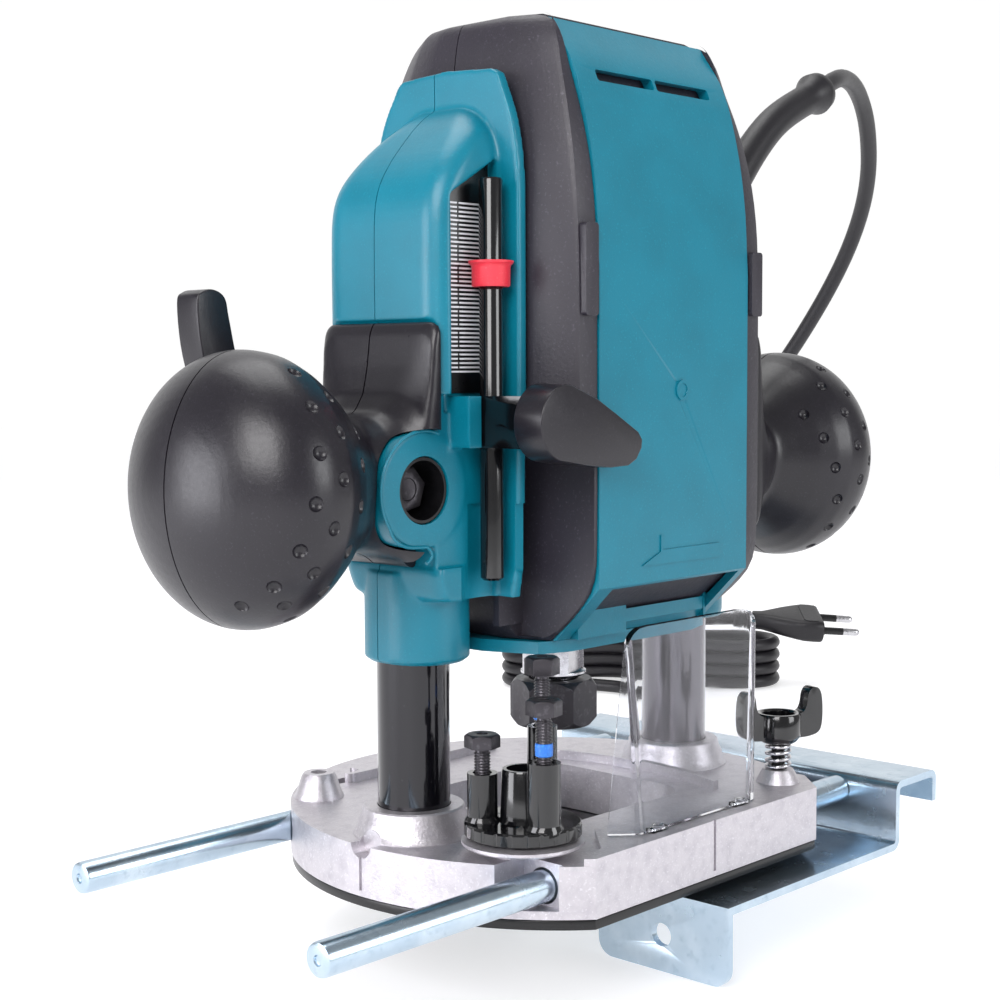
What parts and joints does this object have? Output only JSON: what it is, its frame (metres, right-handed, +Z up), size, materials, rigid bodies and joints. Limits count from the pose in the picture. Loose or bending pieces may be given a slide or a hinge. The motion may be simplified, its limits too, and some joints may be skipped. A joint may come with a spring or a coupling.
{
  "type": "plunge router",
  "caption": "Plunge router on a round base with two columns, ball knobs, a depth stop turret, a clear chip guard, a rod-mounted straight guide and a tied supply cord.",
  "frame": {"origin": "middle of the bounding box of the tool without its cord, at floor level, under the guide's fence", "axes": "+X along the two knobs and the guide rods towards the right knob, -Y the front with the cover and depth stop, +Z up along the columns and the spindle"},
  "size_m": [0.5105, 0.3298, 0.2482],
  "materials": {
    "cast": "grit blasted casting",
    "black": "glossy black",
    "chrome": "dark hard chrome",
    "column_grey": "grey chrome",
    "clear": "clear polycarbonate",
    "steel": "bright",
    "zinc": "zinc plated",
    "rubber": "satin",
    "dark": "fine texture",
    "teal": "fine grain",
    "iron": "oiled dark steel",
    "brass": "plain",
    "copper": "varnished copper and laminations",
    "red": "satin"
  },
  "bodies": {
    "base": {"base_casting": "cast", "sole_plate": "black", "sole_screw_1": "steel", "sole_screw_2": "steel", "sole_screw_3": "steel", "column_left": "chrome", "column_right": "column_grey", "chip_deflector": "clear", "turret_screw": "steel", "wing_spring": "steel", "plunge_spring_left": "steel", "plunge_spring_right": "steel", "supply_cord": "rubber", "cord_hank": "rubber", "plug_body": "rubber", "plug_pin_1": "steel", "plug_pin_2": "steel"},
    "guide": {"guide_plate": "zinc", "guide_rod_near": "zinc", "guide_rod_far": "zinc", "rod_screw_near": "steel", "rod_screw_far": "steel"},
    "wing_screw": {"wing_bolt": "black"},
    "turret": {"stopper_block": "black"},
    "turret_bolt_1": {"stop_bolt_1": "iron"},
    "turret_bolt_2": {"stop_bolt_2": "iron"},
    "turret_bolt_3": {"stop_bolt_3": "iron"},
    "motor_unit": {"shell_front": "dark", "shell_rear": "dark", "tower_left_front": "teal", "tower_left_rear": "teal", "tower_right_front": "teal", "tower_right_rear": "teal", "knob_left_front": "dark", "knob_left_rear": "dark", "knob_right_front": "dark", "knob_right_rear": "dark", "front_cover": "teal", "motor_bracket": "teal", "pole_bracket": "black", "depth_scale": "black", "cord_guard": "rubber", "stator": "iron", "bearing_lower": "steel", "bearing_upper": "steel", "brush_holder_left": "brass", "brush_holder_right": "brass"},
    "drive": {"spindle": "steel", "collet_cone": "steel", "armature": "copper", "cooling_fan": "black"},
    "nut": {"collet_nut": "iron"},
    "pole": {"stopper_pole": "black"},
    "pointer": {"depth_pointer": "red"},
    "pole_clamp": {"clamp_lever": "black"},
    "column_lock": {"lock_lever": "black", "lock_screw": "iron"},
    "switch": {"switch_rocker": "black"}
  },
  "joints": [
    {"name": "plunge", "type": "slide", "parent": "base", "child": "motor_unit", "axis": [0, 0, 1], "range_m": [-0.035, 0], "stiffness_N_per_m": 900, "springref_m": 0.03, "deforming": ["plunge_spring_left", "plunge_spring_right", "supply_cord"]},
    {"name": "spindle_spin", "type": "hinge", "parent": "motor_unit", "child": "drive", "pos_m": [0, -0.005, 0.0736], "axis": [0, 0, 1], "continuous": true},
    {"name": "collet_nut_turn", "type": "hinge", "parent": "drive", "child": "nut", "pos_m": [0, -0.005, 0.0596], "axis": [0, 0, 1], "continuous": true},
    {"name": "stop_pole_slide", "type": "slide", "parent": "motor_unit", "child": "pole", "axis": [0, 0, 1], "range_m": [-0.02, 0.0015]},
    {"name": "pointer_slide", "type": "slide", "parent": "pole", "child": "pointer", "axis": [0, 0, 1], "range_m": [-0.0035, 0.014]},
    {"name": "pole_clamp_turn", "type": "hinge", "parent": "motor_unit", "child": "pole_clamp", "pos_m": [-0.049, -0.047, 0.1396], "axis": [0, -1, 0], "range_deg": [0, 60]},
    {"name": "turret_turn", "type": "hinge", "parent": "base", "child": "turret", "pos_m": [-0.048, -0.0375, 0.043], "axis": [0, 0, -1], "continuous": true},
    {"name": "wing_bolt_turn", "type": "hinge", "parent": "base", "child": "wing_screw", "pos_m": [0.045, -0.0462, 0.0536], "axis": [0, 0, 1], "continuous": true},
    {"name": "guide_slide", "type": "slide", "parent": "base", "child": "guide", "axis": [1, 0, 0], "range_m": [-0.004, 0.06]},
    {"name": "column_lock_turn", "type": "hinge", "parent": "motor_unit", "child": "column_lock", "pos_m": [-0.066, 0.015, 0.1241], "axis": [0, 1, 0], "range_deg": [-45, 0]},
    {"name": "switch_rock", "type": "hinge", "parent": "motor_unit", "child": "switch", "pos_m": [0.0775, 0.008, 0.1266], "axis": [1, 0, 0], "range_deg": [-8, 8]},
    {"name": "stop_bolt_1_turn", "type": "hinge", "parent": "turret", "child": "turret_bolt_1", "pos_m": [-0.05448, -0.03055, 0.0576], "axis": [0, 0, 1], "continuous": true},
    {"name": "stop_bolt_2_turn", "type": "hinge", "parent": "turret", "child": "turret_bolt_2", "pos_m": [-0.05078, -0.04658, 0.0728], "axis": [0, 0, 1], "continuous": true},
    {"name": "stop_bolt_3_turn", "type": "hinge", "parent": "turret", "child": "turret_bolt_3", "pos_m": [-0.03874, -0.03536, 0.0794], "axis": [0, 0, 1], "continuous": true}
  ]
}
